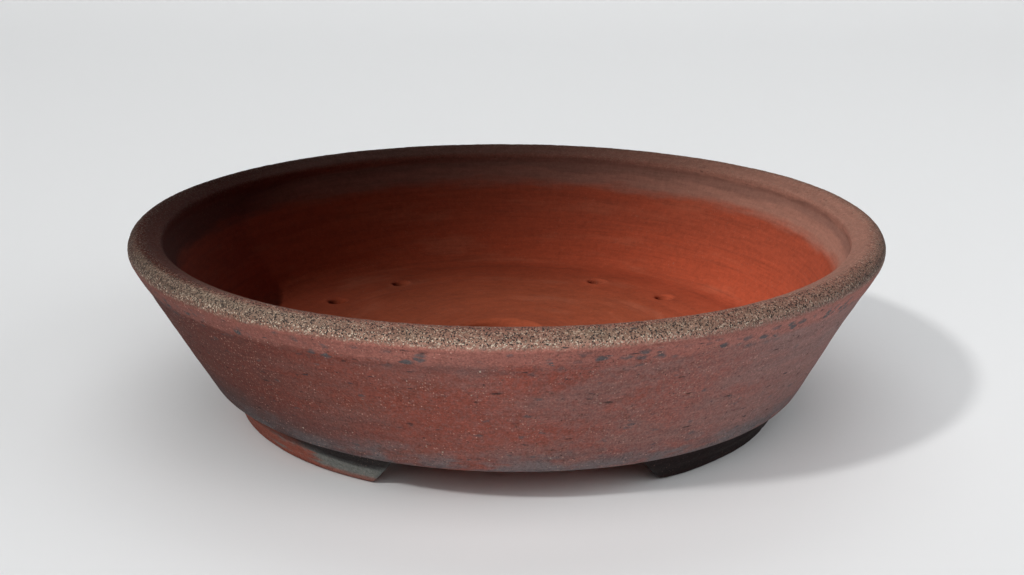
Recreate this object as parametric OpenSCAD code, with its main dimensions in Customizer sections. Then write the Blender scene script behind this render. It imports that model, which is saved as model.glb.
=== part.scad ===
// Round unglazed bonsai pot: a flared bowl with a heavy rounded rim, standing on three cut feet.
// The origin is on the table, under the centre of the rim. +Z is up, along the pot's axis.
// Azimuths run counter-clockwise from the front, which is -Y, as seen from above.

/* [Bowl] */
// Outside diameter of the rim
pot_d = 300; // [296:1:306]
// Height from the table to the top of the rim
pot_h = 74.2; // [68:0.1:84]
// Lean of the wall away from vertical, in degrees
wall_lean = 28.8; // [24:0.1:32]
// Thickness of the wall, square to its face
wall_t = 11; // [8:0.5:12]
// Radius of the hollow where the wall meets the floor
cove_r = 12; // [6:0.5:16]

/* [Rim] */
// Inside diameter of the rim at its inner edge
rim_inner_d = 273.4; // [267:0.1:277]
// Height of the rim piece that is luted onto the wall
rim_h = 14; // [11:0.5:20]
// How far the rim stands proud of the wall outside
rim_proud = 0.3; // [0.2:0.1:1.5]
// Radius of the rim's outer edge
rim_edge_r = 5; // [4:0.1:6]
// Radius of the rim's inner edge
rim_inner_edge_r = 1.5; // [0.8:0.1:2.5]
// Fall of the rim's top face towards the inside, in degrees
rim_fall = 22.5; // [0:0.5:26]

/* [Base] */
// Height of the base's underside above the table
foot_h = 12.9; // [9:0.1:16]
// Thickness of the base slab
base_t = 10; // [8:0.5:12]
// Radius of the base's outer lower edge
base_edge_r = 5; // [3:0.1:7]
// Diameter of the drain hole
drain_d = 35; // [20:0.5:50]
// Sideways offset of the hand-cut drain hole
drain_x = -3; // [-8:0.5:8]

/* [Wire holes] */
// Diameter of each hole for the tie-down wires
wire_d = 7.5; // [4:0.1:9]
// Diameter of the circle that the wire holes lie on
wire_circle_d = 176; // [150:1:180]
// Angle between the two holes of a pair, in degrees
wire_pair_angle = 25; // [16:0.5:40]

/* [Feet] */
// Outside diameter of the feet on the table
foot_d = 220.4; // [208:0.1:222]
// How far the feet widen outwards from the table to the base
foot_flare = 5.3; // [0:0.1:6]
// Width of a foot across its sole
foot_w = 14; // [10:0.5:18]
// Width of the gap between two feet at the base
gap_top_w = 85; // [60:1:95]
// Width of the gap between two feet at the table
gap_sole_w = 102; // [96:1:110]
// Radius that rounds the lower corner of each end of a foot
heel_r = 3; // [1:0.1:4]
// Turn of the feet about the pot's axis, in degrees
foot_turn = 2; // [-10:0.5:10]
// Sideways offset of the hand-set feet
foot_x = 0.7; // [-3:0.1:3]

/* [Hidden] */
$fn = 180;
edge_steps = 12;
overshoot = 1;
clay_red = [0.44, 0.22, 0.18];
clay_grey = [0.42, 0.36, 0.33];
clay_dark = [0.30, 0.19, 0.17];

floor_z = foot_h + base_t;
joint_z = pot_h - rim_h;
cove_land = 0.5;
wire_pairs = [48, 139.5, 226.5, 317];
foot_azimuths = [-60, 60, 180];

rim_edge_x = pot_d / 2 - rim_edge_r;
rim_edge_z = pot_h - rim_edge_r;

// A point at this angle on a circle in the profile plane, where x is the radius and y the height.
function on_circle(centre, r, angle) = centre + r * [cos(angle), sin(angle)];

// An arc as a list of points.
function arc(centre, r, from, to, steps = edge_steps) =
    [for (i = [0:steps]) on_circle(centre, r, from + (to - from) * i / steps)];

// Outside radius of the rim, and of the wall below it, at a height on their common slope.
function rim_x(z) =
    rim_edge_x + rim_edge_r * cos(wall_lean)
    - tan(wall_lean) * (rim_edge_z - rim_edge_r * sin(wall_lean) - z);
function wall_x(z) = rim_x(z) - rim_proud;
function wall_inner_x(z) = wall_x(z) - wall_t / cos(wall_lean);

// Height of the rim's top face at a radius.
function rim_top_z(x) =
    rim_edge_z + rim_edge_r * cos(rim_fall) - tan(rim_fall) * (rim_edge_x - rim_edge_r * sin(rim_fall) - x);

// The rim: rounded outside, with a top face that falls to a small inner edge and an upright inner face.
module rim() {
    inner_x = rim_inner_d / 2;
    inner_edge_x = inner_x + rim_inner_edge_r;
    inner_edge_z = rim_top_z(inner_edge_x) - rim_inner_edge_r / cos(rim_fall);
    inner_foot_z = joint_z + (inner_x - wall_inner_x(joint_z)) / tan(wall_lean);
    profile = concat(
        [[wall_inner_x(joint_z), joint_z], [rim_x(joint_z), joint_z]],
        arc([rim_edge_x, rim_edge_z], rim_edge_r, -wall_lean, 90 + rim_fall),
        arc([inner_edge_x, inner_edge_z], rim_inner_edge_r, 90 + rim_fall, 180),
        [[inner_x, inner_foot_z]]
    );
    color(clay_grey) rotate_extrude() polygon(profile);
}

// The wall: an even cone that stands on the base and runs into the floor by a cove.
module wall() {
    cove_z = floor_z + cove_r;
    cove_x = wall_inner_x(cove_z) - cove_r / cos(wall_lean);
    cove_end = -90 + acos(1 - cove_land / cove_r);
    profile = concat(
        [[wall_x(floor_z), floor_z], [wall_x(joint_z), joint_z], [wall_inner_x(joint_z), joint_z]],
        arc([cove_x, cove_z], cove_r, -wall_lean, cove_end),
        [[cove_x + cove_r * cos(cove_end), floor_z]]
    );
    color(clay_red) rotate_extrude() polygon(profile);
}

// The base: a thrown slab with a rounded lower edge, a drain hole and four pairs of wire holes.
module base() {
    edge_z = foot_h + base_edge_r;
    edge_x = wall_x(edge_z) - base_edge_r / cos(wall_lean);
    profile = concat(
        [[0, foot_h]],
        arc([edge_x, edge_z], base_edge_r, -90, -wall_lean),
        [[wall_x(floor_z), floor_z], [0, floor_z]]
    );
    color(clay_red) difference() {
        rotate_extrude() polygon(profile);
        translate([drain_x, 0, foot_h - overshoot])
            cylinder(d = drain_d, h = base_t + 2 * overshoot);
        for (pair = wire_pairs, side = [-1, 1])
            rotate([0, 0, pair + side * wire_pair_angle / 2])
                translate([0, -wire_circle_d / 2, foot_h - overshoot])
                    cylinder(d = wire_d, h = base_t + 2 * overshoot);
    }
}

// One side of the arched gap between two feet, in the plane of the gap.
module gap_half() {
    end_lean = atan((gap_sole_w - gap_top_w) / 2 / foot_h);
    heel_x = gap_sole_w / 2 - tan(end_lean) * heel_r + heel_r / cos(end_lean);
    polygon(concat(
        [[-overshoot, -overshoot], [-overshoot, foot_h + overshoot]],
        [[gap_top_w / 2, foot_h + overshoot], [gap_top_w / 2, foot_h]],
        arc([heel_x, heel_r], heel_r, 180 + end_lean, 270),
        [[heel_x, -overshoot]]
    ));
}

module gap() {
    rotate([90, 0, 0]) linear_extrude(pot_d / 2) {
        gap_half();
        mirror([1, 0, 0]) gap_half();
    }
}

// A foot: a third of a flared ring, less half of the gap at each end.
module foot(azimuth) {
    sole_x = foot_d / 2;
    top_x = sole_x + foot_flare;
    sector = 360 / len(foot_azimuths);
    translate([foot_x, 0, 0]) rotate([0, 0, azimuth + foot_turn]) difference() {
        rotate([0, 0, -90 - sector / 2]) rotate_extrude(angle = sector)
            polygon([
                [sole_x - foot_w, 0],
                [sole_x, 0],
                [top_x, foot_h],
                [sole_x - foot_w, foot_h]
            ]);
        for (side = [-1, 1])
            rotate([0, 0, side * sector / 2]) gap();
    }
}

module foot_left() {
    color(clay_dark) foot(foot_azimuths[0]);
}

module foot_right() {
    color(clay_dark) foot(foot_azimuths[1]);
}

module foot_back() {
    color(clay_dark) foot(foot_azimuths[2]);
}

rim();
wall();
base();
foot_left();
foot_right();
foot_back();
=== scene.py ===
"""Looks of a thrown, unglazed bonsai pot: a flared bowl with a heavy rim on three cut feet.

Lengths are in millimetres while a piece is being built, and in metres once it is a Blender mesh.
Azimuths run counter-clockwise from the front, which is -Y, as in the CAD source.
"""

import math

import bpy
import numpy as np
from mathutils import Matrix, Vector
from mathutils.geometry import delaunay_2d_cdt


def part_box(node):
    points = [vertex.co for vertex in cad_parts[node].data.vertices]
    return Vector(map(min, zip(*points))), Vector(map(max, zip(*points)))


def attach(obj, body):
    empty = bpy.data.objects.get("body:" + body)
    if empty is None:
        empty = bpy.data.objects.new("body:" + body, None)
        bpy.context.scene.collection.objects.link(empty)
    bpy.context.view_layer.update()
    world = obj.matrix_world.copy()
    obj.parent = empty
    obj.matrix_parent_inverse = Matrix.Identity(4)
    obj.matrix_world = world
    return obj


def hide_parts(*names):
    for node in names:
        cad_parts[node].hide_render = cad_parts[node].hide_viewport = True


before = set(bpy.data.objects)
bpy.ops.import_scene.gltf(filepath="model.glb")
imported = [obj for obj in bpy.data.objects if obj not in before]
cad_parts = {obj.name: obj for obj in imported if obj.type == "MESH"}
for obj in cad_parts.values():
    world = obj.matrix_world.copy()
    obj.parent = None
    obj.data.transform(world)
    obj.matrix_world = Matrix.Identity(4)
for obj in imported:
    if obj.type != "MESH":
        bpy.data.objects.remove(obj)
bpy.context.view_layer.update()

MM = 0.001

# ---------------------------------------------------------------- sizes, from the CAD nodes and in mm


def node_mm(name):
    low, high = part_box(name)
    return [v / MM for v in low], [v / MM for v in high]


rim_low, rim_high = node_mm("rim")
base_low, base_high = node_mm("base")

POT_R = rim_high[0]
POT_H = rim_high[2]
JOINT_Z = rim_low[2]
FLOOR_Z = base_high[2]
FOOT_H = base_low[2]

WALL_LEAN = math.radians(28.8)
WALL_T = 11.0
COVE_R = 12.0
COVE_END_R = 108.2     # radius at which the wall's cove hands over to the base
RIM_INNER_R = 136.7
RIM_PROUD = 0.3
RIM_EDGE_R = 5.0
RIM_INNER_EDGE_R = 1.5
RIM_FALL = math.radians(22.5)
BASE_EDGE_R = 5.0
DRAIN_R = 17.5
DRAIN_X = -3.0
WIRE_R = 3.75
WIRE_CIRCLE_R = 88.0
WIRE_PAIRS = (48.0, 139.5, 226.5, 317.0)
WIRE_HALF_ANGLE = 12.5
FOOT_OUT_R = 110.2
FOOT_FLARE = 5.3
FOOT_W = 14.0
GAP_TOP_HALF = 42.5
GAP_SOLE_HALF = 51.0
FOOT_TURN = 2.0
FOOT_SECTOR = 120.0
FOOT_X = 0.7
ASKEW = 0.012          # slope of the hand-trimmed underside, down towards +X
TRIM_REACH = 14.0      # how far below the joint the slope starts to show
TRIM_FULL = 2.0        # how far above the underside it is complete

SECTION_STEP = 0.05    # spacing of the points that the section is drawn with
SECTION_BLUR = 0.45    # how far the section's corners are softened, as a sponge leaves them
LUTE_DEPTH = 0.07      # depth of the faint groove where the rim is luted on
LUTE_DROP = 2.2        # how far that groove lies below the joint
LUTE_WIDTH = 1.5
SKIN = 0.10            # how far the looks lie under the CAD surface before the clay's relief is added
N_AZ = 900             # points round every ring
FLOOR_R = 104.0        # radius inside which the floor is meshed as a flat sheet with holes

RIM_EDGE_C = (POT_R - RIM_EDGE_R, POT_H - RIM_EDGE_R)
SLOPE = math.tan(WALL_LEAN)


def rim_x(z):
    return RIM_EDGE_C[0] + RIM_EDGE_R * math.cos(WALL_LEAN) - SLOPE * (
        RIM_EDGE_C[1] - RIM_EDGE_R * math.sin(WALL_LEAN) - z
    )


def wall_x(z):
    return rim_x(z) - RIM_PROUD


def wall_inner_x(z):
    return wall_x(z) - WALL_T / math.cos(WALL_LEAN)


def rim_top_z(x):
    fall_x = RIM_EDGE_C[0] - RIM_EDGE_R * math.sin(RIM_FALL)
    return RIM_EDGE_C[1] + RIM_EDGE_R * math.cos(RIM_FALL) - math.tan(RIM_FALL) * (fall_x - x)


# ---------------------------------------------------------------- small maths


def smooth(a, b, x):
    t = np.clip((np.asarray(x, float) - a) / (b - a), 0, 1)
    return t * t * (3 - 2 * t)


class Lattice:
    """Smooth value noise in three dimensions, from -1 to 1, the same on every run."""

    SIDE = 64

    def __init__(self, seed):
        self.table = np.random.default_rng(seed).uniform(-1, 1, (self.SIDE,) * 3)

    def __call__(self, x, y, z):
        p = np.stack(np.broadcast_arrays(x, y, z), -1).astype(float)
        cell = np.floor(p).astype(int)
        f = p - cell
        f = f * f * (3 - 2 * f)
        total = 0.0
        for dx in (0, 1):
            for dy in (0, 1):
                for dz in (0, 1):
                    w = (
                        (f[..., 0] if dx else 1 - f[..., 0])
                        * (f[..., 1] if dy else 1 - f[..., 1])
                        * (f[..., 2] if dz else 1 - f[..., 2])
                    )
                    total = total + w * self.table[
                        (cell[..., 0] + dx) % self.SIDE,
                        (cell[..., 1] + dy) % self.SIDE,
                        (cell[..., 2] + dz) % self.SIDE,
                    ]
        return total


noise_a, noise_b, noise_c, noise_d = (Lattice(s) for s in (11, 23, 37, 51))


def arc(centre, r, start, end):
    n = max(2, int(abs(math.radians(end - start)) * r / SECTION_STEP))
    t = np.radians(np.linspace(start, end, n))
    return np.stack([centre[0] + r * np.cos(t), centre[1] + r * np.sin(t)], 1)


def line(a, b):
    n = max(2, int(math.dist(a, b) / SECTION_STEP))
    return np.linspace(a, b, n)


# ---------------------------------------------------------------- the pot's section, as one closed line


def section():
    """The whole section from the underside, round the rim and down to the floor, at even steps."""
    lean = math.degrees(WALL_LEAN)
    fall = math.degrees(RIM_FALL)
    edge_z = FOOT_H + BASE_EDGE_R
    edge_x = wall_x(edge_z) - BASE_EDGE_R / math.cos(WALL_LEAN)
    inner_c = (RIM_INNER_R + RIM_INNER_EDGE_R, 0.0)
    inner_c = (inner_c[0], rim_top_z(inner_c[0]) - RIM_INNER_EDGE_R / math.cos(RIM_FALL))
    inner_foot = (RIM_INNER_R, JOINT_Z + (RIM_INNER_R - wall_inner_x(JOINT_Z)) / SLOPE)
    cove_z = FLOOR_Z + COVE_R
    cove_c = (wall_inner_x(cove_z) - COVE_R / math.cos(WALL_LEAN), cove_z)
    outer = [
        line((FLOOR_R - 4, FOOT_H), (edge_x, FOOT_H)),
        arc((edge_x, edge_z), BASE_EDGE_R, -90, -lean),
    ]
    z = np.arange(edge_z, RIM_EDGE_C[1] - RIM_EDGE_R * math.sin(WALL_LEAN), SECTION_STEP)
    step = smooth(JOINT_Z - 4.0, JOINT_Z + 3.0, z) * RIM_PROUD
    groove = LUTE_DEPTH * np.exp(-(((z - JOINT_Z + LUTE_DROP) / LUTE_WIDTH) ** 2))
    slope = np.stack([np.array([wall_x(v) for v in z]) + step - groove, z], 1)
    outer.append(slope)
    rim = [
        arc(RIM_EDGE_C, RIM_EDGE_R, -lean, 90 + fall),
        arc(inner_c, RIM_INNER_EDGE_R, 90 + fall, 180),
        line((RIM_INNER_R, inner_c[1]), inner_foot),
    ]
    cove_top = cove_c[1] - COVE_R * math.sin(WALL_LEAN)
    inner = [
        line(inner_foot, (wall_inner_x(cove_top), cove_top)),
        arc(cove_c, COVE_R, -lean, -90),
        line((cove_c[0], FLOOR_Z), (FLOOR_R - 4, FLOOR_Z)),
    ]
    points = np.concatenate(outer + rim + inner)
    keep = np.concatenate([[True], np.linalg.norm(np.diff(points, axis=0), axis=1) > 1e-4])
    points = points[keep]
    s = np.concatenate([[0], np.cumsum(np.linalg.norm(np.diff(points, axis=0), axis=1))])
    even = np.arange(0, s[-1], SECTION_STEP)
    points = np.stack([np.interp(even, s, points[:, k]) for k in (0, 1)], 1)
    sigma = SECTION_BLUR / SECTION_STEP
    reach = int(4 * sigma)
    kernel = np.exp(-0.5 * (np.arange(-reach, reach + 1) / sigma) ** 2)
    kernel /= kernel.sum()
    padded = np.concatenate([
        points[0] + (points[1] - points[0]) * np.arange(-reach, 0)[:, None],
        points,
        points[-1] + (points[-1] - points[-2]) * np.arange(1, reach + 1)[:, None],
    ])
    return np.stack([np.convolve(padded[:, k], kernel, "valid") for k in (0, 1)], 1), even


line_rz, line_s = section()


def crossing(values, level, after=0, before=None):
    """Arc length at which values passes level, looking between two places on the line."""
    before = len(values) if before is None else before
    v = values[after:before] - level
    i = after + int(np.where(np.sign(v[:-1]) != np.sign(v[1:]))[0][0])
    f = (level - values[i]) / (values[i + 1] - values[i])
    return line_s[i] + f * (line_s[i + 1] - line_s[i])


top_index = int(np.argmax(line_rz[:, 1]))
S_START = crossing(line_rz[:, 0], FLOOR_R, 0, top_index)
S_BASE = crossing(line_rz[:, 1], FLOOR_Z, 0, top_index)
S_RIM = crossing(line_rz[:, 1], JOINT_Z, 0, top_index)
S_RIM_IN = crossing(line_rz[:, 1], JOINT_Z, top_index)
S_COVE = crossing(line_rz[:, 0], COVE_END_R, top_index)
S_END = crossing(line_rz[:, 0], FLOOR_R, top_index)


def rows_between(a, b, gap):
    n = max(2, int(round((b - a) / gap)) + 1)
    return np.linspace(a, b, n)


segments = [
    ("under", rows_between(S_START, S_BASE, 1.1)),
    ("outside", rows_between(S_BASE, S_RIM, 0.62)),
    ("rim", rows_between(S_RIM, S_RIM_IN, 0.5)),
    ("inside", rows_between(S_RIM_IN, S_COVE, 1.3)),
    ("cove", rows_between(S_COVE, S_END, 1.0)),
]
row_s = [segments[0][1]]
span = {}
at = 0
for name, values in segments:
    if name != "under":
        row_s.append(values[1:])
    span[name] = (at, at + len(values) - 1)
    at += len(values) - 1
row_s = np.concatenate(row_s)
row_r = np.interp(row_s, line_s, line_rz[:, 0])
row_z = np.interp(row_s, line_s, line_rz[:, 1])
tangent_r = np.gradient(line_rz[:, 0], line_s)
tangent_z = np.gradient(line_rz[:, 1], line_s)
normal_r = np.interp(row_s, line_s, tangent_z)
normal_z = -np.interp(row_s, line_s, tangent_r)
length = np.hypot(normal_r, normal_z)
normal_r, normal_z = normal_r / length, normal_z / length
normal_r[0] = 0.0
normal_z[0] = -1.0
normal_r[-1] = 0.0
normal_z[-1] = 1.0

azimuth = np.arange(N_AZ) * 2 * math.pi / N_AZ
SIN, COS = np.sin(azimuth), np.cos(azimuth)


def ring_point(r, z, az):
    return r * np.sin(az), -r * np.cos(az), z


# ---------------------------------------------------------------- relief of the clay


def thrown_rings(x, y, u, period, turn=1.0):
    """Ridges that a potter's fingers leave, wandering a little, along the path length u."""
    az = np.arctan2(x, -y)
    drift = noise_a(x / 70, y / 70, u / 30) * 1.1
    phase = u / period + turn * az / (2 * math.pi) + drift
    wave = 0.5 * np.cos(2 * math.pi * phase) + 0.25 * np.cos(2 * math.pi * (2.3 * phase + 0.4))
    return wave * (0.65 + 0.35 * noise_b(x / 60, y / 60, u / 12))


FINGER_PITCH = 7.5     # from one throwing ridge to the next inside
FINGER_HEIGHT = 0.17
WHEEL_PITCH = 5.5      # the same under the base, where it was cut from the wheel
WHEEL_HEIGHT = 0.10


def inner_relief(x, y, u):
    """Relief of the floor and the inner wall; u is the path length from the middle of the floor."""
    rings = FINGER_HEIGHT * thrown_rings(x, y, u, FINGER_PITCH) * (1 - 0.3 * smooth(110, 150, u))
    soft = 0.10 * noise_c(x / 55, y / 55, u / 3.1)
    fine = 0.045 * noise_d(x / 22, y / 22, u / 1.5)
    lumps = 0.05 * noise_b(x / 9, y / 9, u / 8)
    return rings + soft + fine + lumps


def outer_relief(x, y, z):
    """Relief of the outer wall: lines drawn round it, small lumps and a broad swell."""
    drawn = 0.10 * noise_c(x / 75, y / 75, z / 3.4)
    lines = 0.060 * noise_d(x / 40, y / 40, z / 1.3)
    lumps = 0.10 * noise_b(x / 14, y / 14, z / 9)
    swell = 0.16 * noise_a(x / 60, y / 60, z / 26)
    return drawn + lines + lumps + swell


def under_relief(x, y):
    """Relief of the base's underside."""
    r = np.hypot(x, y)
    rings = WHEEL_HEIGHT * thrown_rings(x, y, r, WHEEL_PITCH, 2.0)
    return rings + 0.05 * noise_d(x / 6, y / 6, r / 1.4)


def askew(x, share):
    """How far the underside sinks at x; share is 1 on the underside and 0 where the pot runs true."""
    return -ASKEW * x * share


def wobble(az):
    """The rim isn't a perfect circle: it runs a little out of round and out of level."""
    out = 0.05 * np.cos(2 * az + 0.7) + 0.035 * np.cos(3 * az + 2.1) + 0.02 * np.cos(5 * az + 4.0) - 0.105
    up = 0.045 * np.cos(az + 2.6) + 0.035 * np.cos(3 * az + 0.4) + 0.025 * np.cos(7 * az) - 0.105
    return out, up


u_row = FLOOR_R + (S_END - row_s)
x0, y0, z0 = row_r[:, None] * SIN, -row_r[:, None] * COS, row_z[:, None] + 0 * SIN
inner_d = inner_relief(x0, y0, u_row[:, None] + 0 * SIN)
outer_d = outer_relief(x0, y0, z0)
under_d = under_relief(x0, y0)
grog_d = 0.07 * noise_c(x0 / 1.9, y0 / 1.9, z0 / 1.9) + 0.05 * noise_a(x0 / 1.1, y0 / 1.1, z0 / 1.1)

rim_mask = smooth(JOINT_Z + 4, POT_H - 5, row_z)[:, None]
out_w = (1 - smooth(line_s[top_index] - 3.0, line_s[top_index] + 3.0, row_s))[:, None]
in_w = smooth(line_s[top_index] + 9.0, line_s[top_index] + 14.0, row_s)[:, None]
under_w = (1 - smooth(S_START + 8, S_START + 18, row_s))[:, None]
relief = outer_d * out_w * (1 - under_w) + under_d * under_w + inner_d * in_w + grog_d * rim_mask

# Pits and dashes torn by coarse grains while the wall was drawn up.
pit_mask = np.zeros_like(relief)
rng = np.random.default_rng(7)


def press(rows, count, long, wide, deep, dark=1.0):
    """Presses oval dents into a range of rows; long, wide and deep are ranges too, dark is their paint."""
    lo, hi = rows
    for _ in range(count):
        row = rng.uniform(lo, hi)
        az0 = rng.uniform(0, 2 * math.pi)
        half_long = rng.uniform(*long) / 2
        half_wide = rng.uniform(*wide) / 2
        depth_here = rng.uniform(*deep)
        tilt = rng.normal(0, 0.06)
        s_mid = np.interp(row, np.arange(len(row_s)), row_s)
        r_mid = np.interp(row, np.arange(len(row_s)), row_r)
        a, b = np.searchsorted(row_s, [s_mid - 3 * half_wide - 1, s_mid + 3 * half_wide + 1])
        reach = int(math.ceil((3 * half_long + 1) / r_mid / (2 * math.pi / N_AZ)))
        mid = int(round(az0 / (2 * math.pi / N_AZ)))
        near = np.arange(mid - reach, mid + reach + 1)
        cols = near % N_AZ
        along = (near * 2 * math.pi / N_AZ - az0) * r_mid
        across = row_s[a:b, None] - s_mid - tilt * along[None, :]
        dent = np.exp(-((np.abs(along[None, :]) / half_long) ** 2.6) - (across / half_wide) ** 2)
        patch = relief[a:b][:, cols] - depth_here * dent
        relief[a:b, cols] = patch
        pit_mask[a:b, cols] = np.maximum(pit_mask[a:b][:, cols], dent * dark)


rim_first = span["rim"][0]
rim_side = (rim_first, rim_first + 20)
rim_top = (rim_first + 18, rim_first + 60)
press(span["outside"], 95, long=(1.5, 5.5), wide=(0.8, 1.5), deep=(0.12, 0.34))
press(span["outside"], 170, long=(0.9, 1.8), wide=(0.8, 1.4), deep=(0.14, 0.34))
press(rim_side, 34, long=(0.9, 3.0), wide=(0.9, 1.5), deep=(0.12, 0.32))
press(rim_top, 220, long=(0.9, 2.0), wide=(0.8, 1.4), deep=(0.12, 0.35), dark=0.8)
press(span["inside"], 40, long=(1.5, 5.0), wide=(1.2, 2.0), deep=(0.08, 0.2), dark=0.5)

out_move, up_move = wobble(azimuth)
share = smooth(FOOT_H, POT_H, row_z)[:, None]
depth = SKIN * smooth(S_START + 6, S_START + 20, row_s)[:, None] * out_w
push = relief - depth
grid_r = row_r[:, None] + normal_r[:, None] * push + out_move * share
grid_z = row_z[:, None] + normal_z[:, None] * push + up_move * share
on_outside = row_s < line_s[top_index]
trimmed = np.where(on_outside, smooth(JOINT_Z - TRIM_REACH, FOOT_H + TRIM_FULL, row_z), 0.0)[:, None]
grid_z = grid_z + askew(grid_r * SIN, trimmed)
grid = np.stack([grid_r * SIN, -grid_r * COS, grid_z], -1)


# ---------------------------------------------------------------- meshes from grids


class Shell:
    """Collects vertices and faces of one closed piece, with a few painted values for its material."""

    def __init__(self):
        self.points, self.faces, self.pits = [], [], []
        self.count = 0

    def add(self, points, pits=None):
        points = np.asarray(points, float).reshape(-1, 3)
        self.points.append(points)
        self.pits.append(np.zeros(len(points)) if pits is None else np.asarray(pits, float).ravel())
        first = self.count
        self.count += len(points)
        return first

    def quads(self, a, b, c, d):
        self.faces.extend(np.stack([a, b, c, d], 1).tolist())

    def strip(self, lower, upper):
        """Quads between two closed loops of vertex numbers."""
        self.quads(lower, np.roll(lower, -1), np.roll(upper, -1), upper)

    def piece(self, name, material, angle=50):
        mesh = bpy.data.meshes.new(name)
        points = np.concatenate(self.points) * MM
        mesh.from_pydata(points.tolist(), [], self.faces)
        attribute = mesh.attributes.new("pit", "FLOAT", "POINT")
        attribute.data.foreach_set("value", np.concatenate(self.pits).astype(np.float32))
        mesh.polygons.foreach_set("use_smooth", [True] * len(mesh.polygons))
        mesh.set_sharp_from_angle(angle=math.radians(angle))
        mesh.materials.append(material)
        mesh.update()
        obj = bpy.data.objects.new(name, mesh)
        bpy.context.scene.collection.objects.link(obj)
        return obj


def add_rows(shell, first, last):
    """Adds the grid's rows first to last with the faces between them, and returns their loops."""
    start = shell.add(grid[first:last + 1], pit_mask[first:last + 1])
    loops = [start + k * N_AZ + np.arange(N_AZ) for k in range(last - first + 1)]
    for lower, upper in zip(loops, loops[1:]):
        shell.strip(lower, upper)
    return loops


def thrown_rim(material):
    shell = Shell()
    loops = add_rows(shell, *span["rim"])
    shell.strip(loops[-1], loops[0])
    return shell.piece("thrown_rim", material)


def thrown_wall(material):
    shell = Shell()
    outside = add_rows(shell, *span["outside"])
    inside = add_rows(shell, *span["inside"])
    shell.strip(outside[-1], inside[0])
    shell.strip(inside[-1], outside[0])
    return shell.piece("thrown_wall", material)


# ---------------------------------------------------------------- the base, with its holes


DRAIN_POINTS, WIRE_POINTS = 132, 40
DRAIN_EDGE_R, WIRE_EDGE_R = 1.4, 0.9                # how far each hole's upper edge is rounded over
DRAIN_UNDER_R, WIRE_UNDER_R = 1.0, 0.7              # the same underneath
COLLAR_HEIGHT, COLLAR_AT, COLLAR_WIDTH = 0.75, 3.0, 1.5     # clay pushed up round the drain hole
APRON_HEIGHT, APRON_AT, APRON_WIDTH = 0.35, 6.5, 3.0        # and its gentle slope further out
LIP_HEIGHT, LIP_AT, LIP_WIDTH = 0.22, 1.5, 0.8              # the same round each wire hole
BURR_HEIGHT, BURR_AT, BURR_WIDTH = 0.15, 1.0, 0.7           # where the wire holes were punched through
UNDER_LIFT = 0.05      # keeps the underside's relief above the CAD surface
SHEET_GAP, SHEET_GAP_MAX, SHEET_GROWTH = 0.95, 1.45, 1.06   # spacing of the flat sheet's points


def hole_list():
    """Every hole as its centre, radius, number of points and whether it is the drain hole."""
    holes = [(DRAIN_X, 0.0, DRAIN_R, DRAIN_POINTS, True)]
    for pair in WIRE_PAIRS:
        for side in (-1, 1):
            az = math.radians(pair + side * WIRE_HALF_ANGLE)
            x, y, _ = ring_point(WIRE_CIRCLE_R, 0, az)
            holes.append((x, y, WIRE_R, WIRE_POINTS, False))
    return holes


HOLES = hole_list()
DRAIN_STEPS = (0, 0.3, 0.7, 1.2, 1.8, 2.5, 3.3, 4.2, 5.2, 6.3)
WIRE_STEPS = (0, 0.22, 0.5, 0.85, 1.3, 1.9)


def hole_outline(hole, d):
    """A loop at distance d outside a hole; hand-cut holes are a little out of round."""
    x, y, r, n, big = hole
    t = np.arange(n) * 2 * math.pi / n
    shape = 0.10 * np.cos(2 * t + x) + 0.05 * np.cos(3 * t + y)
    fade = 1 - smooth(0, 3 if big else 1.6, d)
    radius = r + d - (0.12 - shape * 0.8) * fade
    return np.stack([x + radius * np.cos(t), y + radius * np.sin(t)], 1)


def near_hole(x, y):
    """For each point, its distance from the edge of the drain hole and of the closest wire hole."""
    drain = np.hypot(x - HOLES[0][0], y - HOLES[0][1]) - HOLES[0][2]
    wires = np.min([np.hypot(x - h[0], y - h[1]) - h[2] for h in HOLES[1:]], 0)
    return drain, wires


def quarter_round(d, r):
    """How far a rounded edge of radius r has dropped at distance d from the hole."""
    t = np.clip(1 - np.maximum(d, 0) / r, 0, 1)
    return r * (1 - np.sqrt(np.maximum(1 - t * t, 0)))


def ridge_at(d, height, middle, width):
    """Height at distance d of a rounded ridge that runs round a hole."""
    return height * np.exp(-(((d - middle) / width) ** 2))


def floor_height(x, y):
    """Height of the floor's upper face."""
    drain, wires = near_hole(x, y)
    collar = ridge_at(drain, COLLAR_HEIGHT, COLLAR_AT, COLLAR_WIDTH)
    collar = collar + ridge_at(drain, APRON_HEIGHT, APRON_AT, APRON_WIDTH)
    lips = ridge_at(wires, LIP_HEIGHT, LIP_AT, LIP_WIDTH)
    drop = quarter_round(drain, DRAIN_EDGE_R) + quarter_round(wires, WIRE_EDGE_R)
    calm = smooth(0.0, 4.0, np.minimum(drain, wires))
    relief_here = inner_relief(x, y, np.hypot(x, y))
    return FLOOR_Z + collar + lips - drop + relief_here * (0.35 + 0.65 * calm)


def under_height(x, y):
    """Height of the base's underside."""
    drain, wires = near_hole(x, y)
    burr = ridge_at(wires, BURR_HEIGHT, BURR_AT, BURR_WIDTH)
    rise = quarter_round(drain, DRAIN_UNDER_R) + quarter_round(wires, WIRE_UNDER_R)
    calm = smooth(0.0, 3.0, np.minimum(drain, wires))
    return FOOT_H + rise - burr - under_relief(x, y) * calm + UNDER_LIFT + askew(x, 1.0)


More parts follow.
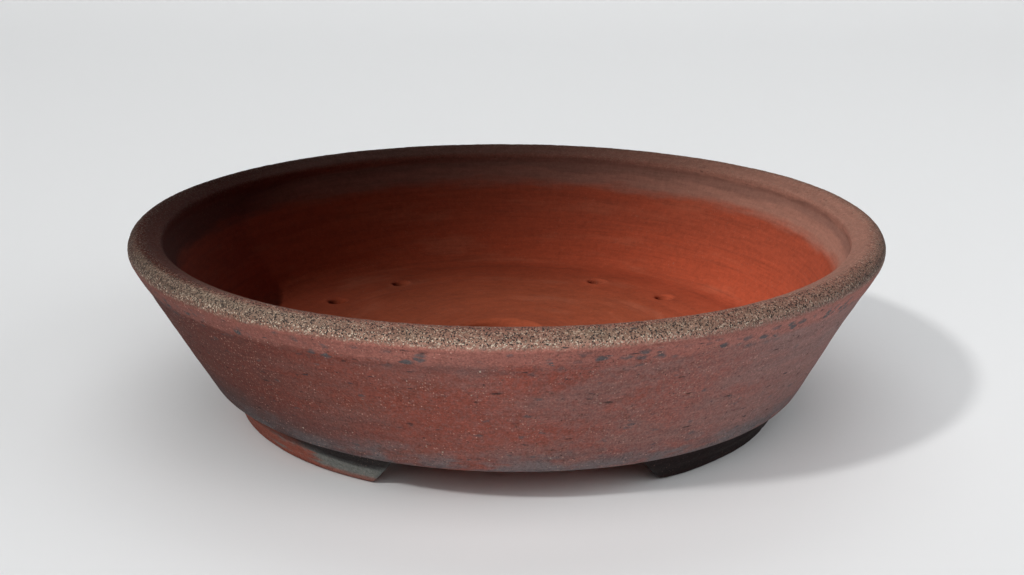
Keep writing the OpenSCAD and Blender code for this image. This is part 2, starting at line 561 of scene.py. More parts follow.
def flat_sheet():
    """Points and triangles of the disc inside FLOOR_R, with a loop round every hole."""
    points, edges, hole_loops = [], [], []
    count = 0

    def loop(ring, closed_edge):
        nonlocal count
        ids = list(range(count, count + len(ring)))
        points.extend(map(tuple, ring))
        if closed_edge:
            edges.extend(zip(ids, ids[1:] + ids[:1]))
        count += len(ring)
        return ids

    outer = loop(np.stack([FLOOR_R * SIN, -FLOOR_R * COS], 1), True)
    for hole in HOLES:
        steps = DRAIN_STEPS if hole[4] else WIRE_STEPS
        rings = [loop(hole_outline(hole, d), i == 0) for i, d in enumerate(steps)]
        hole_loops.append(rings[0])
    r, gap, k = FLOOR_R, SHEET_GAP, 0
    while r > gap:
        r -= gap
        n = max(6, int(round(2 * math.pi * r / gap / 1.1)))
        t = (np.arange(n) + 0.5 * (k % 2)) * 2 * math.pi / n
        x, y = r * np.cos(t), r * np.sin(t)
        drain, wires = near_hole(x, y)
        keep = (drain > DRAIN_STEPS[-1] + 0.5) & (wires > WIRE_STEPS[-1] + 0.4)
        loop(np.stack([x[keep], y[keep]], 1), False)
        gap = min(SHEET_GAP_MAX, gap * SHEET_GROWTH)
        k += 1
    verts, _, tris, _, _, _ = delaunay_2d_cdt([Vector(p) for p in points], edges, [], 0, 1e-7)
    assert len(verts) == len(points), "the sheet's points changed"
    xy = np.array([tuple(v) for v in verts])
    tris = np.array([list(t) for t in tris])
    in_hole = np.zeros(len(tris), bool)
    for hole, ring in zip(HOLES, hole_loops):
        ring_set = np.zeros(len(xy), bool)
        ring_set[ring] = True
        in_hole |= ring_set[tris].all(1)
    tris = tris[~in_hole]
    a, b, c = xy[tris[:, 0]], xy[tris[:, 1]], xy[tris[:, 2]]
    area = (b[:, 0] - a[:, 0]) * (c[:, 1] - a[:, 1]) - (b[:, 1] - a[:, 1]) * (c[:, 0] - a[:, 0])
    tris[area < 0] = tris[area < 0][:, ::-1]
    return xy, tris, outer, hole_loops


def thrown_base(material):
    shell = Shell()
    under = add_rows(shell, *span["under"])
    cove = add_rows(shell, *span["cove"])
    shell.strip(under[-1], cove[0])
    xy, tris, outer, hole_loops = flat_sheet()
    inner = np.ones(len(xy), bool)
    inner[outer] = False
    new_id = np.full(len(xy), -1)
    new_id[inner] = np.arange(inner.sum())
    x, y = xy[inner, 0], xy[inner, 1]
    ids = {}
    for side, height, edge in (("top", floor_height, cove[-1]), ("under", under_height, under[0])):
        first = shell.add(np.stack([x, y, height(x, y)], 1))
        ids[side] = np.where(new_id >= 0, new_id + first, -1)
        ids[side][outer] = edge
        order = tris if side == "top" else tris[:, ::-1]
        shell.faces.extend(ids[side][order].tolist())
    for hole, ring in zip(HOLES, hole_loops):
        top = ids["top"][ring]
        bottom = ids["under"][ring]
        outline = xy[ring]
        z_top = floor_height(outline[:, 0], outline[:, 1])
        z_low = under_height(outline[:, 0], outline[:, 1])
        previous = top
        centre = np.array(hole[:2])
        for step in (0.25, 0.5, 0.75):
            squeeze = 1 - 0.02 * math.sin(math.pi * step)
            ring_xy = centre + (outline - centre) * squeeze
            z = z_top + (z_low - z_top) * step
            first = shell.add(np.column_stack([ring_xy, z]), np.full(len(ring), 0.35))
            current = first + np.arange(len(ring))
            shell.strip(previous, current)
            previous = current
        shell.strip(previous, bottom)
    return shell.piece("thrown_base", material)


# ---------------------------------------------------------------- the feet


def gap_half(z, heel):
    """Half the width of the gap between two feet at height z, with its lower corner rounded."""
    lean = math.atan((GAP_SOLE_HALF - GAP_TOP_HALF) / FOOT_H)
    straight = GAP_SOLE_HALF - (GAP_SOLE_HALF - GAP_TOP_HALF) * z / FOOT_H
    heel_x = GAP_SOLE_HALF - math.tan(lean) * heel + heel / math.cos(lean)
    rounded = heel_x - np.sqrt(np.maximum(heel * heel - np.clip(heel - z, 0, heel) ** 2, 0))
    meets = heel - heel * math.sin(lean)
    return np.where(z < meets, rounded, straight)


def box_surface(n_a, n_b, n_c):
    """A closed grid on the unit box, as points and quads, with shared edges welded."""
    found, points, faces = {}, [], []

    def vertex(i, j, k):
        key = (i, j, k)
        if key not in found:
            found[key] = len(points)
            points.append((i / n_a, j / n_b, k / n_c))
        return found[key]

    def side(place, m, n, flip):
        """One side of the box, m by n quads; place turns its two steps into a grid point."""
        for a in range(m):
            for b in range(n):
                ring = [(a, b), (a + 1, b), (a + 1, b + 1), (a, b + 1)]
                if flip:
                    ring = [ring[0], ring[3], ring[2], ring[1]]
                faces.append([vertex(*place(*corner)) for corner in ring])

    for k in (0, n_c):
        side(lambda a, b: (a, b, k), n_a, n_b, k == 0)
    for j in (0, n_b):
        side(lambda a, b: (a, j, b), n_a, n_c, j != 0)
    for i in (0, n_a):
        side(lambda a, b: (i, a, b), n_b, n_c, i == 0)
    return np.array(points), faces


FOOT_GRID = (230, 18, 20)
FOOT_EDGE = 1.3
FOOT_EMBED = 0.35      # how far a foot's top runs into the base, as luted clay does
FOOT_SKIN = 0.35       # how far its outside lies under the CAD surface before relief
FILLET_HEIGHT = 1.1    # over which the slip in the crease spreads
FILLET_DEPTH = 0.45


def cut_foot(name, material, centre, heels, nicks=()):
    """A foot between two gaps; heels are the corner radii at its lower and higher azimuth.

    A nick in its lower outer edge is an azimuth in degrees, a half width and a depth.
    """
    unit, faces = box_surface(*FOOT_GRID)
    middle_r = FOOT_OUT_R - FOOT_W / 2
    gap_angle = math.asin((GAP_TOP_HALF + GAP_SOLE_HALF) / 2 / middle_r)
    half_long = middle_r * (math.radians(FOOT_SECTOR / 2) - gap_angle)
    size = np.array([2 * half_long, FOOT_W, FOOT_H + FOOT_EMBED])
    p = unit * size
    low = np.array([FOOT_EDGE, FOOT_EDGE, FOOT_EDGE])
    high = size - np.array([FOOT_EDGE, FOOT_EDGE, 0.0])
    core = np.clip(p, low, high)
    away = p - core
    distance = np.linalg.norm(away, axis=1)
    scale = np.where(distance > 1e-9, FOOT_EDGE / np.maximum(distance, 1e-9), 0)
    p = core + away * np.minimum(scale, 1.0)[:, None]
    u, v, z = p[:, 0] / size[0], p[:, 1] / FOOT_W, p[:, 2]
    fillet = FILLET_DEPTH * np.exp(-((FOOT_H - z) / FILLET_HEIGHT))
    outer_r = FOOT_OUT_R + FOOT_FLARE * (z / FOOT_H) ** 1.15 - FOOT_SKIN
    inner_r = FOOT_OUT_R - FOOT_W
    r = inner_r + (outer_r - inner_r) * v
    turn = math.radians(centre + FOOT_TURN)
    reach = math.radians(FOOT_SECTOR / 2)
    start = turn - reach + np.arcsin(gap_half(z, heels[0]) / r)
    end = turn + reach - np.arcsin(gap_half(z, heels[1]) / r)
    az = start + (end - start) * u
    x, y, _ = ring_point(r, z, az)
    # relief: horizontal turning lines on the outside, cut marks on the ends
    outside = smooth(0.6, 1.0, v)
    turned = 0.13 * noise_c(x / 40, y / 40, z / 1.7) + 0.10 * noise_b(x / 11, y / 11, z / 5)
    lumps = 0.07 * noise_d(x / 5, y / 5, z / 4)
    r = r + outside * (turned - 0.12) + fillet * smooth(0.9, 1.0, v) + lumps * v
    ends = smooth(0.02, 0.0, u) - smooth(0.98, 1.0, u)
    cut = 0.10 * noise_a(x / 3, y / 3, z / 8) + 0.12
    az = az + ends * cut / r
    sole = smooth(1.6, 0.2, z)
    lift = sole * (0.10 + 0.08 * noise_b(x / 8, y / 8, 3.0))
    for nick_az, nick_w, nick_deep in nicks:
        along = (az - math.radians(nick_az)) * r
        bite = nick_deep * np.exp(-((along / nick_w) ** 2)) * smooth(3.2, 0.6, z) * smooth(0.6, 1.0, v)
        r = r - bite
        lift = lift + bite * 0.7
    z = z + lift * smooth(3, 0, z)
    x, y, _ = ring_point(r, z, az)
    shell = Shell()
    z = z + askew(x + FOOT_X, z / FOOT_H)
    shell.add(np.column_stack([x + FOOT_X, y, z]))
    shell.faces = faces
    return shell.piece(name, material, 60)


# ---------------------------------------------------------------- procedural clay


class Paint:
    """A short way to write a shader: every method adds one node and returns its output."""

    def __init__(self, name):
        self.material = bpy.data.materials.new(name)
        self.material.use_nodes = True
        self.tree = self.material.node_tree
        self.tree.nodes.clear()

    def node(self, kind, inputs=None, **settings):
        made = self.tree.nodes.new(kind)
        for key, value in settings.items():
            setattr(made, key, value)
        for key, value in (inputs or {}).items():
            self.feed(made.inputs[key], value)
        return made

    def feed(self, socket, value):
        if isinstance(value, bpy.types.NodeSocket):
            self.tree.links.new(value, socket)
        elif isinstance(value, (tuple, list)) and len(value) == 3 and socket.type == "RGBA":
            socket.default_value = (*value, 1.0)
        else:
            socket.default_value = value

    def math(self, operation, a, b=0.0):
        made = self.node("ShaderNodeMath", operation=operation)
        for socket, value in zip(made.inputs, (a, b)):
            self.feed(socket, value)
        return made.outputs[0]

    def add(self, a, b):
        return self.math("ADD", a, b)

    def sub(self, a, b):
        return self.math("SUBTRACT", a, b)

    def mul(self, a, b):
        return self.math("MULTIPLY", a, b)

    def total(self, *values):
        out = values[0]
        for value in values[1:]:
            out = self.add(out, value)
        return out

    def product(self, *values):
        out = values[0]
        for value in values[1:]:
            out = self.mul(out, value)
        return out

    def step(self, low, high, value):
        """Smoothly from 0 at low to 1 at high; low may be the larger."""
        made = self.node("ShaderNodeMapRange", interpolation_type="SMOOTHSTEP", clamp=True)
        if low < high:
            numbers = (low, high, 0.0, 1.0)
        else:
            numbers = (high, low, 1.0, 0.0)
        self.feed(made.inputs["Value"], value)
        for key, number in zip(("From Min", "From Max", "To Min", "To Max"), numbers):
            made.inputs[key].default_value = number
        return made.outputs["Result"]

    def vector(self, x, y, z):
        made = self.node("ShaderNodeCombineXYZ")
        for socket, value in zip(made.inputs, (x, y, z)):
            self.feed(socket, value)
        return made.outputs[0]

    def noise(self, vector, detail=2.0, rough=0.5, scale=1.0):
        made = self.node("ShaderNodeTexNoise", {
            "Vector": vector, "Scale": scale, "Detail": detail, "Roughness": rough,
        })
        return made.outputs["Fac"]

    def warp(self, vector, size, amount):
        """The same coordinates, shifted about by smooth noise, so that what is drawn on them is irregular."""
        made = self.node("ShaderNodeTexNoise", {"Vector": vector, "Scale": 1 / size, "Detail": 1.0})
        centred = self.node("ShaderNodeVectorMath", {0: made.outputs["Color"], 1: (0.5, 0.5, 0.5)},
                            operation="SUBTRACT").outputs[0]
        shift = self.node("ShaderNodeVectorMath", {0: centred}, operation="SCALE")
        shift.inputs["Scale"].default_value = amount
        return self.node("ShaderNodeVectorMath", {0: vector, 1: shift.outputs[0]}, operation="ADD").outputs[0]

    def grains(self, vector, size):
        """Scattered grains: the distance from the nearest one, then three random values that it keeps."""
        made = self.node("ShaderNodeTexVoronoi", {"Vector": vector, "Scale": 1 / size})
        picks = self.node("ShaderNodeSeparateColor", {0: made.outputs["Color"]}).outputs
        return made.outputs["Distance"], picks[0], picks[1], picks[2]

    def mix(self, amount, a, b):
        made = self.node("ShaderNodeMix", data_type="RGBA", clamp_factor=True)
        self.feed(made.inputs[0], amount)
        self.feed(made.inputs[6], a)
        self.feed(made.inputs[7], b)
        return made.outputs[2]

    def shade(self, colour, value):
        """Colour times a grey value."""
        made = self.node("ShaderNodeVectorMath", operation="SCALE")
        self.feed(made.inputs[0], colour)
        self.feed(made.inputs["Scale"], value)
        return made.outputs[0]


MAROON = (0.300, 0.085, 0.062)
PURPLE_GREY = (0.255, 0.130, 0.114)
UMBER = (0.190, 0.060, 0.042)
BLUE_GREY = (0.140, 0.135, 0.140)
TEAL_GREY = (0.075, 0.088, 0.095)
MAUVE_GREY = (0.235, 0.155, 0.145)
SALMON = (0.500, 0.290, 0.230)
SLATE = (0.060, 0.062, 0.070)
PIT_DARK = (0.030, 0.024, 0.024)
DASH = (0.034, 0.034, 0.040)
PINK = (0.350, 0.138, 0.112)
GROG_LIGHT = (0.500, 0.430, 0.350)
GROG_DARK = (0.022, 0.020, 0.022)
RIM_BROWN = (0.185, 0.130, 0.098)
# paler colour of the painted highlight along the rim's outer edge
EDGE_HIGHLIGHT = (0.330, 0.215, 0.165)
LIP_PINK = (0.200, 0.092, 0.074)
LIP_SHADE = (0.120, 0.062, 0.052)
# painted shade on the back-left rim and on the lip at the left
RIM_PAINTED_SHADE = (0.085, 0.018, 0.012)
# painted light towards the right of the rim and lip
RIM_PAINTED_LIGHT = (0.300, 0.150, 0.116)
RIM_ASH = (0.250, 0.195, 0.155)
BRICK = (0.305, 0.056, 0.027)
BRICK_DARK = (0.190, 0.042, 0.024)
FLOOR_CLAY = (0.270, 0.061, 0.029)
DUST = (0.380, 0.120, 0.072)
# partly flame flashing, partly painted shade on the left side
FLASHED_AND_SHADE = (0.125, 0.032, 0.023)
FOOT_RED = (0.225, 0.068, 0.048)
FOOT_GREEN = (0.145, 0.150, 0.142)
# painted shade on the feet
FOOT_PAINTED_SHADE = (0.016, 0.009, 0.009)


# heights in mm over which each colour comes in, or goes out where the first is the larger
LOW_BLOOM = (27, 14)
# heights over which the painted shade low on the left comes in
LOW_LEFT_SHADE = (40, 16)
BAND_IN, BAND_OUT = (60.2, 63.2), (70.5, 67.5)
SEAM_IN, SEAM_OUT = (58.5, 61.5), (67.5, 64.5)
RIM_TOP_IN = (69.0, 71.0)
# heights of the painted highlight along the rim's outer edge
HIGHLIGHT_IN, HIGHLIGHT_OUT = (67.4, 69.2), (72.2, 70.3)
# heights of the painted shade on the outside's left and right sides
OUTSIDE_OUT = (74.0, 71.0)
RIGHT_SIDE_OUT = (72.5, 69.5)
LIP_IN = (54.5, 61.0)
RIDGE_IN, RIDGE_OUT = (62.5, 65.5), (69.6, 68.0)
SOLE_LINE = (3.4, 1.2)
# heights of the painted shade in the feet's crease under the base
CREASE_IN = (5.8, 9.0)
GRIT_IN = (67.5, 70.5)
NEAR_RIM_IN = (61.0, 69.0)


class Coordinates:
    """The pot's own coordinates in a shader, in millimetres, and ways to stretch and roughen them."""

    def __init__(self, g):
        coord = g.node("ShaderNodeTexCoord").outputs["Object"]
        scaled = g.node("ShaderNodeVectorMath", {0: coord}, operation="SCALE")
        scaled.inputs["Scale"].default_value = 1 / MM
        self.g = g
        self.p = scaled.outputs[0]
        self.x, self.y, self.z = g.node("ShaderNodeSeparateXYZ", {0: self.p}).outputs
        self.r = g.math("SQRT", g.add(g.mul(self.x, self.x), g.mul(self.y, self.y)))
        self.u = g.add(self.r, self.z)

    def drawn(self, along, across, level=None, shift=0.0):
        """Coordinates for marks that are long round the pot and thin across it."""
        g = self.g
        level = self.z if level is None else level
        return g.vector(g.mul(self.x, 1 / along), g.mul(self.y, 1 / along),
                        g.add(g.mul(level, 1 / across), shift))

    def back_left_shade(self):
        """1 on the back-left quarter of the rim, where painted shade is laid, 0 opposite."""
        g = self.g
        return g.step(50, 165, g.sub(g.mul(self.y, 0.7), self.x))

    def cloud(self, along, across, level=None, shift=0.0, detail=3.0, rough=0.6):
        return self.g.noise(self.drawn(along, across, level, shift), detail, rough)


def outer_colour(g, at):
    """Maroon to purple-grey body, slate blooms low down and under the rim, and a pink band on the rim; darker
    and redder to the left, partly flashing and partly painted shade, greyer to the right, partly firing
    colour and partly a painted sheen, and painted shade low on the left.
    """
    cloud, cloud2 = at.cloud(46, 15), at.cloud(24, 9, shift=7.0)
    patch = g.noise(at.p, 3.0, 0.65, 1 / 7.0)
    out = g.mix(g.mul(g.step(0.38, 0.66, cloud), 0.85), MAROON, PURPLE_GREY)
    out = g.mix(g.mul(g.step(0.50, 0.66, patch), 0.25), out, PURPLE_GREY)
    out = g.mix(g.mul(g.step(0.50, 0.70, cloud2), 0.45), out, UMBER)
    freckle = g.noise(at.p, 2.0, 0.6, 1 / 1.7)
    out = g.mix(g.mul(g.step(0.46, 0.60, freckle), 0.28), out, MAUVE_GREY)
    drift = g.mul(g.sub(cloud2, 0.5), 90)
    # painted shade: the left side is darkened and reddened, partly flashing; the right side is greyed, partly
    # the firing's colour and partly a painted sheen
    flank = g.step(-150, 60, g.add(at.x, drift))
    out = g.mix(g.mul(g.sub(1.0, flank), 0.85), out, FLASHED_AND_SHADE)
    out = g.mix(g.mul(g.step(10, 120, g.add(at.x, drift)), 0.66), out, MAUVE_GREY)

    bloom = at.cloud(18, 6, shift=21.0)
    low = g.step(*LOW_BLOOM, g.add(at.z, g.mul(g.sub(patch, 0.5), 14)))
    # painted shade low down on the left side
    low_left_shade = g.mul(g.step(*LOW_LEFT_SHADE, at.z), g.step(-10, -95, at.x))
    out = g.mix(g.mul(low_left_shade, 0.50), out, SLATE)
    out = g.mix(g.product(low, g.step(0.38, 0.60, bloom), 0.80), out, BLUE_GREY)
    out = g.mix(g.product(low, g.step(0.54, 0.66, patch), 0.45), out, SLATE)

    edge = g.add(at.z, g.mul(g.sub(patch, 0.5), 4))
    band = g.mul(g.step(*BAND_IN, edge), g.step(*BAND_OUT, edge))
    out = g.mix(g.mul(band, 0.78), out, PINK)
    blots = g.grains(g.warp(at.drawn(1.9, 1.0, shift=31.0), 1.3, 1.7), 2.7)
    seam = g.mul(g.step(*SEAM_IN, at.z), g.step(*SEAM_OUT, at.z))
    stretch = g.step(0.42, 0.52, at.cloud(22, 22, shift=35.0))
    blot = g.product(g.step(0.58, 0.24, blots[0]), g.step(0.38, 0.52, blots[1]), stretch)
    out = g.mix(g.product(seam, blot, 0.85), out, TEAL_GREY)
    stray = g.mul(g.step(0.36, 0.14, blots[0]), g.step(0.86, 0.92, blots[2]))
    out = g.mix(g.mul(stray, 0.55), out, TEAL_GREY)
    return out


def rim_colour(g, at, out):
    """A brown-grey top with painted light to the right and painted shade on its back-left quarter, a painted
    highlight along the outer rounding, and painted shade on the outside's left and right sides.
    """
    waver = g.mul(g.sub(g.noise(at.p, 2.0, 0.6, 1 / 4.0), 0.5), 2.2)
    edge = g.add(at.z, waver)
    tone = g.mix(g.mul(g.step(0.42, 0.60, at.cloud(26, 26, shift=41.0)), 0.6), RIM_BROWN, LIP_PINK)
    # painted light: the rim top warmer and brighter towards the right
    tone = g.mix(g.mul(g.step(20, 120, at.x), 0.55), tone, RIM_PAINTED_LIGHT)
    front_left = g.product(g.step(-30, -75, at.x), g.step(-40, -90, at.y), 0.75)
    tone = g.mix(front_left, tone, RIM_ASH)
    # painted shade on the back-left quarter of the rim
    tone = g.mix(g.mul(at.back_left_shade(), 0.62), tone, RIM_PAINTED_SHADE)
    out = g.mix(g.mul(g.step(*RIM_TOP_IN, edge), 0.90), out, tone)
    # painted highlight: a paler stripe along the rim's outer rounding
    outer_edge = g.step(144.5, 147.0, at.r)
    edge_highlight = g.product(g.step(*HIGHLIGHT_IN, edge), g.step(*HIGHLIGHT_OUT, edge), outer_edge)
    out = g.mix(g.mul(edge_highlight, 0.55), out, EDGE_HIGHLIGHT)
    # painted shade: the outside darkened on its left and right sides below the rim top
    left = g.mul(g.step(10, -150, at.x), g.step(*OUTSIDE_OUT, at.z))
    right = g.mul(g.step(118, 150, at.x), g.step(*RIGHT_SIDE_OUT, at.z))
    return g.shade(out, g.sub(1.0, g.add(g.mul(left, 0.46), g.mul(right, 0.30)))), edge_highlight


def inner_colour(g, at):
    """Brick red inside, dusty in rings, paler and browner on the floor, darker towards the rim, with painted
    light on the lip to the right, painted shade on it to the left and a painted shadow under its ridge.
    """
    inn = g.mix(g.step(75, 135, at.u), FLOOR_CLAY, BRICK)
    inn = g.mix(g.mul(g.step(0.50, 0.72, at.cloud(50, 16, at.u, 9.0)), 0.35), inn, DUST)
    inn = g.mix(g.mul(g.step(0.52, 0.70, at.cloud(70, 3.2, at.u, 5.0)), 0.35), inn, BRICK_DARK)
    # darker towards the rim inside
    toward_rim = g.step(158, 196, g.add(at.u, g.mul(at.cloud(60, 14, at.u, 17.0), 30)))
    inn = g.mix(g.mul(toward_rim, 0.45), inn, BRICK_DARK)
    edge = g.add(at.z, g.mul(g.sub(at.cloud(30, 5, shift=51.0), 0.5), 8))
    # painted light on the lip towards the right
    lip = g.mix(g.mul(g.step(20, 120, at.x), 0.55), LIP_PINK, RIM_PAINTED_LIGHT)
    ridge = g.mul(g.step(*RIDGE_IN, edge), g.step(*RIDGE_OUT, edge))
    lip = g.mix(g.mul(ridge, 0.50), lip, LIP_SHADE)
    # painted shade on the lip at the left
    lip = g.mix(g.mul(g.step(-85, -124, at.x), 0.85), lip, RIM_PAINTED_SHADE)
    inn = g.mix(g.step(*LIP_IN, edge), inn, lip)
    under = g.step(FOOT_H + 1.6, FOOT_H + 0.2, at.z)
    raw = g.mix(g.step(0.42, 0.62, at.cloud(30, 4, at.u, 61.0)), BRICK, FLOOR_CLAY)
    return g.mix(under, inn, raw)


def foot_colour(g, at):
    """Red where the flame reached, grey-green towards the front gap, with painted shade at the right and in
    the crease.
    """
    smear = g.mul(g.add(at.cloud(26, 2.2, shift=71.0, rough=0.65), at.cloud(20, 6, shift=75.0)), 0.5)
    toward_gap = g.step(-86, -58, at.x)
    green = g.step(0.42, 0.56, g.add(smear, g.mul(g.sub(toward_gap, 0.5), 0.26)))
    colour = g.mix(green, FOOT_RED, FOOT_GREEN)
    colour = g.mix(g.mul(g.step(*SOLE_LINE, g.add(at.z, g.mul(g.sub(smear, 0.5), 6))), 0.8), colour, FOOT_RED)
    # painted shade in the crease under the base's overhang
    narrow = g.mul(g.step(-52, -95, at.x), 3.6)
    crease = g.step(*CREASE_IN, g.sub(g.add(at.z, g.mul(g.sub(smear, 0.5), 6)), narrow))
    colour = g.mix(g.mul(crease, 0.88), colour, FOOT_PAINTED_SHADE)
    # painted shade over the feet towards the right
    return g.mix(g.mul(g.step(10, 60, at.x), 0.96), colour, FOOT_PAINTED_SHADE)


GRAIN = 0.46           # spacing of the grit that shows on the rim
SPECK = 0.85           # spacing of the specks on the wall
FLAKE = 2.6            # spacing of the few large pale flakes
DASH_LONG, DASH_WIDE = 4.2, 0.95


def clay(name, foot=False):
    """Unglazed reduction-fired clay. All pieces share the pattern, so it runs on across their joints."""
    g = Paint(name)
    at = Coordinates(g)
    middle = g.add(g.mul(at.z, SLOPE), wall_x(0) - WALL_T / 2 / math.cos(WALL_LEAN))
    outside = g.step(-1.5, 1.5, g.sub(at.r, middle))
    inside = g.sub(1.0, outside)
    pit = g.node("ShaderNodeAttribute", attribute_name="pit").outputs["Fac"]

    out, edge_highlight = rim_colour(g, at, outer_colour(g, at))
    colour = g.mix(outside, inner_colour(g, at), out)
    if foot:
        colour = foot_colour(g, at)

    # grog: light and dark grains, dense on the rim and in loose clusters on the wall, with more pale grains
    # along the rim's painted edge highlight
    rough_p = g.warp(at.p, 0.9, 0.7)
    top = g.step(*GRIT_IN, at.z)
    near_rim = g.step(*NEAR_RIM_IN, at.z)
    grain, pick_a, pick_b, pick_c = g.grains(rough_p, GRAIN)
    body = g.step(0.74, 0.40, grain)
    outer_lip = g.step(141.0, 146.0, at.r)
    dense = g.mul(top, g.add(0.22, g.mul(outer_lip, 0.78)))
    light = g.product(g.step(0.62, 0.80, pick_a), body, g.total(g.mul(dense, 0.48), g.mul(edge_highlight, 0.60)))
    far = g.sub(1.0, g.mul(g.step(-110, 0, at.y), 0.60))
    dark = g.product(g.step(0.55, 0.72, pick_b), body, far, g.total(g.mul(dense, 1.0), g.mul(near_rim, 0.12)))
    colour = g.mix(light, colour, GROG_LIGHT)
    colour = g.mix(dark, colour, GROG_DARK)

    speck, pick_d, pick_e, _ = g.grains(rough_p, SPECK)
    dot = g.step(0.40, 0.16, speck)
    crowd = g.add(0.30, g.step(0.42, 0.60, g.noise(at.p, 2.0, 0.6, 1 / 11.0)))
    spread = g.product(crowd, g.add(0.12, g.mul(outside, 0.88)), 0.25 if foot else 1.0)
    cream = g.product(g.step(0.40, 1.0, pick_d), dot, spread, 0.72)
    coal = g.product(g.step(0.45, 1.0, pick_e), dot, spread, 0.62)
    colour = g.mix(cream, colour, SALMON)
    colour = g.mix(coal, colour, GROG_DARK)
    flake, pick_g, _, _ = g.grains(g.warp(at.p, 1.2, 1.6), FLAKE)
    bright = g.product(g.step(0.72, 0.90, pick_g), g.step(0.13, 0.06, flake), spread, 0.80)
    colour = g.mix(bright, colour, GROG_LIGHT)

    # torn dashes in rows, and dark in the pits
    rows = g.step(0.50, 0.58, at.cloud(60, 1.6, shift=85.0, detail=1.0))
    dash, pick_f, _, _ = g.grains(g.warp(at.drawn(DASH_LONG, DASH_WIDE, shift=81.0), 1.1, 0.9), 1.7)
    mark = g.product(g.step(0.24, 0.10, dash), g.step(0.55, 0.65, pick_f), rows, outside)
    colour = g.mix(g.mul(mark, 0.85), colour, DASH)
    colour = g.mix(g.mul(g.step(0.35, 0.9, pit), 0.80), colour, PIT_DARK)

    # tone: streaks round the pot and fine mottling
    streak = at.cloud(30, 1.5, shift=3.0, rough=0.65)
    streak2 = at.cloud(9, 0.7, shift=13.0, detail=2.0)
    mottle = g.noise(at.p, 4.0, 0.7, 1 / 2.6)
    fine = g.noise(at.p, 3.0, 0.75, 1 / 0.8)
    tone = g.total(
        g.mul(g.sub(streak, 0.5), 0.42), g.mul(g.sub(streak2, 0.5), 0.30),
        g.mul(g.sub(mottle, 0.5), 0.60),
        g.product(g.sub(fine, 0.5), g.add(0.45, g.mul(outside, 1.25))), 1.0,
    )
    colour = g.shade(colour, g.math("MAXIMUM", tone, 0.25))

    # height in mm for the bump
    scratch = at.cloud(14, 0.45, at.u, 91.0, detail=2.0)
    bulge = g.mul(body, g.sub(pick_c, 0.5))
    height = g.total(
        g.mul(scratch, 0.06),
        g.mul(fine, 0.10),
        g.mul(mottle, 0.08),
        g.product(bulge, g.add(0.03, g.mul(dense, 0.16))),
        g.mul(mark, -0.14),
        g.mul(coal, -0.08),
        g.mul(cream, 0.05),
    )
    bump = g.node("ShaderNodeBump", {"Height": height, "Distance": MM, "Strength": 0.9})
    roughness = g.total(0.78, g.mul(g.sub(mottle, 0.5), 0.35), g.mul(inside, 0.10), g.mul(pit, 0.15))
    shader = g.node("ShaderNodeBsdfPrincipled", {
        "Base Color": colour, "Roughness": roughness, "Normal": bump.outputs["Normal"],
    })
    shader.inputs["IOR"].default_value = 1.5
    shader.inputs["Specular IOR Level"].default_value = 0.10
    output = g.node("ShaderNodeOutputMaterial")
    g.tree.links.new(shader.outputs[0], output.inputs["Surface"])
    return g.material


# ---------------------------------------------------------------- build and place the pieces

pieces = {
    "rim": (thrown_rim(clay("rim_clay")), "rim_clay"),
    "wall": (thrown_wall(clay("wall_clay")), "wall_clay"),
    "base": (thrown_base(clay("base_clay")), "base_clay"),
}
foot_material = clay("foot_clay", foot=True)
pieces["foot_left"] = (cut_foot("cut_foot_left", foot_material, -60, (3.0, 3.0)), "foot_clay")
nick = (64.0, 1.6, 0.6)
pieces["foot_right"] = (cut_foot("cut_foot_right", foot_material, 60, (8.0, 3.0), [nick]), "foot_clay")
pieces["foot_back"] = (cut_foot("cut_foot_back", foot_material, 180, (4.0, 5.0)), "foot_clay")
for node, (obj, slot) in pieces.items():
    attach(obj, "root")
    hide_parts(node)

# ---------------------------------------------------------------- stage


PALE = (0.80, 0.81, 0.82)
BEND_STEPS = 24


def stage_material():
    g = Paint("pale_sheet")
    shader = g.node("ShaderNodeBsdfPrincipled", {"Base Color": PALE, "Roughness": 0.75})
    shader.inputs["Specular IOR Level"].default_value = 0.2
    output = g.node("ShaderNodeOutputMaterial")
    g.tree.links.new(shader.outputs[0], output.inputs["Surface"])
    return g.material


def sweep():
    """A pale floor that curves up into a backdrop."""
    near, far = -2.0, 1.1
    bend, tall, half = 0.9, 2.2, 3.2
    profile = [(near, 0.0), (far, 0.0)]
    for k in range(1, BEND_STEPS + 1):
        t = math.radians(90 * k / BEND_STEPS)
        profile.append((far + bend * math.sin(t), bend - bend * math.cos(t)))
    profile.append((far + bend, tall))
    verts = [(sx * half, py, pz) for py, pz in profile for sx in (-1, 1)]
    faces = [(2 * i, 2 * i + 1, 2 * i + 3, 2 * i + 2) for i in range(len(profile) - 1)]
    mesh = bpy.data.meshes.new("sweep")
    mesh.from_pydata(verts, [], faces)
    mesh.polygons.foreach_set("use_smooth", [True] * len(mesh.polygons))
    mesh.materials.append(stage_material())
    obj = bpy.data.objects.new("sweep", mesh)
    bpy.context.scene.collection.objects.link(obj)
    return obj


NEUTRAL = (1.0, 1.0, 1.0)


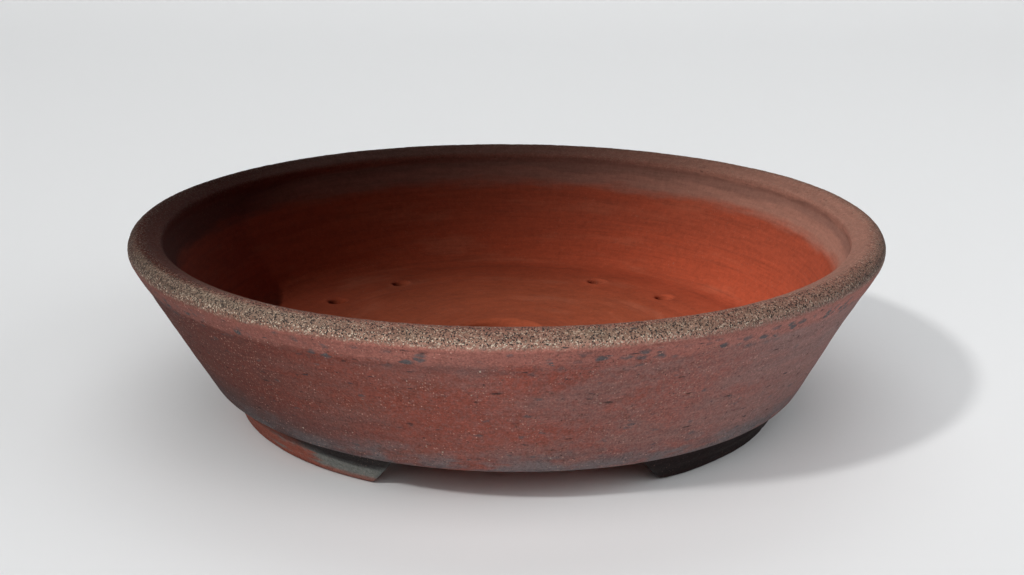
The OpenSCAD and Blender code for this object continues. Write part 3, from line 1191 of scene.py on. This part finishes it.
def aimed(name, kind, azimuth_deg, elevation_deg, distance, power, colour, target, only):
    """A light at an azimuth and elevation from its target, which it faces; only says what it lights."""
    az, el = math.radians(azimuth_deg), math.radians(elevation_deg)
    away = Vector((math.sin(az) * math.cos(el), -math.cos(az) * math.cos(el), math.sin(el)))
    data = bpy.data.lights.new(name, kind)
    data.energy = power
    data.color = colour
    obj = bpy.data.objects.new(name, data)
    obj.location = Vector(target) + away * distance
    obj.rotation_euler = away.to_track_quat("Z", "Y").to_euler()
    obj.visible_camera = False
    bpy.context.scene.collection.objects.link(obj)
    obj.light_linking.receiver_collection = only
    return data


def group(name, objects):
    made = bpy.data.collections.new(name)
    for obj in objects:
        made.objects.link(obj)
    return made


stage_only = group("lit_stage", [sweep()])
pot_only = group("lit_pot", [obj for obj, _ in pieces.values()])

# azimuths here: 0 is the front, 90 the right, -90 the left
SUN_AZ, SUN_EL = -48.3, 42.7
KEY_TARGET = (0.072, -0.048, 0.045)
BEAM_R = 0.200         # where the key's soft-edged beam ends, round its target
KEY_DISTANCE = 5.0
wash = aimed("table_wash", "AREA", 0, 50, 2.4, 33, NEUTRAL, (0, 0.1, 0), stage_only)
wash.size = 2.6
side = aimed("table_fill", "AREA", 70, 28, 1.9, 11, (0.98, 0.99, 1.0), (0, 0, 0), stage_only)
side.size = 1.4
sun = aimed("table_sun", "SUN", SUN_AZ, SUN_EL, 2.0, 1.22, (1.0, 0.99, 0.97), (0, 0, 0), stage_only)
sun.angle = math.radians(5.0)
sky = aimed("backdrop_wash", "AREA", 0, 90, 2.6, 21, NEUTRAL, (0, 1.5, 0), stage_only)
sky.size = 2.4
key = aimed("key", "SPOT", SUN_AZ, SUN_EL, KEY_DISTANCE, 1530, (1.0, 0.95, 0.88), KEY_TARGET, pot_only)
key.spot_size = 2 * math.atan(BEAM_R / KEY_DISTANCE)
key.spot_blend = 1.0
key.shadow_soft_size = 0.09
fill = aimed("front_fill", "AREA", 30, 0, 1.0, 1.3, (0.93, 0.96, 1.0), (0, 0, 0.045), pot_only)
fill.shape = "RECTANGLE"
fill.size = 1.0
fill.size_y = 0.07
world = bpy.data.worlds.new("studio")
world.use_nodes = True
world.node_tree.nodes["Background"].inputs["Color"].default_value = (0.95, 0.97, 1.0, 1.0)
world.node_tree.nodes["Background"].inputs["Strength"].default_value = 0.02
bpy.context.scene.world = world
bpy.context.scene.view_settings.view_transform = "Standard"

# ---------------------------------------------------------------- camera

CAM_ELEVATION = 0.294
CAM_DISTANCE = 0.6167
CAM_AIM = Vector((0.00206, 0.0, 0.04336))
CAM_ROLL = -0.004
CAM_LENS = 52.73

data = bpy.data.cameras.new("camera")
data.sensor_width = 36.0
data.lens = CAM_LENS
data.clip_start = 0.01
camera = bpy.data.objects.new("camera", data)
right = Vector((1, 0, 0))
up = Vector((0, math.sin(CAM_ELEVATION), math.cos(CAM_ELEVATION)))
back = Vector((0, -math.cos(CAM_ELEVATION), math.sin(CAM_ELEVATION)))
c, s = math.cos(CAM_ROLL), math.sin(CAM_ROLL)
turned = Matrix((c * right - s * up, s * right + c * up, back)).transposed()
camera.matrix_world = Matrix.Translation(CAM_AIM + back * CAM_DISTANCE) @ turned.to_4x4()
bpy.context.scene.collection.objects.link(camera)
bpy.context.scene.camera = camera
